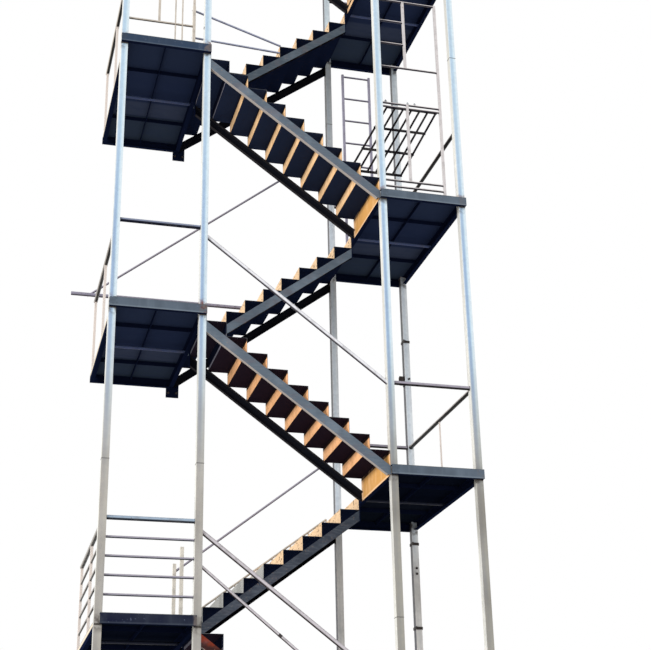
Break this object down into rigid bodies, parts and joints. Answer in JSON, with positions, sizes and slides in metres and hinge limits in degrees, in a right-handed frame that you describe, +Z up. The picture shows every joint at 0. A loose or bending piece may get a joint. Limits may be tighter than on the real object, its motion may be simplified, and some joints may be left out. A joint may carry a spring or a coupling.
{
  "type": "fire escape stair",
  "caption": "Outdoor steel half-turn stair tied to a facade, with landings on both sides, square posts, folded plate steps on sloping channels, and tube guards.",
  "frame": {"origin": "on the floor, under the middle of the front left outer post (mount foot_face)", "axes": "+X to the right along the wall, +Y into the wall, +Z up"},
  "size_m": [4.52, 2.48, 14.628],
  "materials": {
    "post_tube": "galvanised square tube, weathered",
    "frame_channel": "slate grey paint on rolled channel",
    "deck_plate": "dark paint on plate, scuffed on top",
    "stringer_channel": "slate grey paint on rolled channel",
    "step_plate": "folded plate, dark under the treads and warm tan on the risers",
    "rail_tube": "galvanised round tube",
    "foot_plate": "painted plate"
  },
  "bodies": {
    "root": {"back_post_right_inner": "post_tube", "back_post_right_outer": "post_tube", "base_plates": "foot_plate", "flight_1_steps": "step_plate", "flight_1_stringers": "stringer_channel", "flight_2_steps": "step_plate", "flight_2_stringers": "stringer_channel", "flight_3_steps": "step_plate", "flight_3_stringers": "stringer_channel", "flight_4_steps": "step_plate", "flight_4_stringers": "stringer_channel", "flight_5_steps": "step_plate", "flight_5_stringers": "stringer_channel", "flight_6_steps": "step_plate", "flight_6_stringers": "stringer_channel", "flight_7_steps": "step_plate", "flight_7_stringers": "stringer_channel", "flight_8_steps": "step_plate", "flight_8_stringers": "stringer_channel", "front_post_left_inner": "post_tube", "front_post_left_outer": "post_tube", "front_post_right_inner": "post_tube", "front_post_right_outer": "post_tube", "handrail_flight_2": "rail_tube", "handrail_flight_4": "rail_tube", "handrail_flight_8": "rail_tube", "landing_newels": "rail_tube", "landing_tubes": "rail_tube", "left_guard_1": "rail_tube", "left_guard_2": "rail_tube", "left_guard_3": "rail_tube", "left_guard_4": "rail_tube", "left_landing_decks": "deck_plate", "left_landing_frame_1": "frame_channel", "left_landing_frame_2": "frame_channel", "left_landing_frame_3": "frame_channel", "left_landing_frame_4": "frame_channel", "loose_front_frame": "rail_tube", "loose_ladder_frame": "rail_tube", "loose_leaning_panel": "frame_channel", "loose_tubes": "rail_tube", "low_rails": "rail_tube", "right_guard_0": "rail_tube", "right_guard_1": "rail_tube", "right_guard_2": "rail_tube", "right_guard_3": "rail_tube", "right_landing_decks": "deck_plate", "right_landing_frame_0": "frame_channel", "right_landing_frame_1": "frame_channel", "right_landing_frame_2": "frame_channel", "right_landing_frame_3": "frame_channel", "stringer_hangers": "frame_channel", "wall_brackets": "frame_channel", "wall_rail": "rail_tube", "wall_side_slope_rails": "rail_tube"}
  },
  "joints": []
}
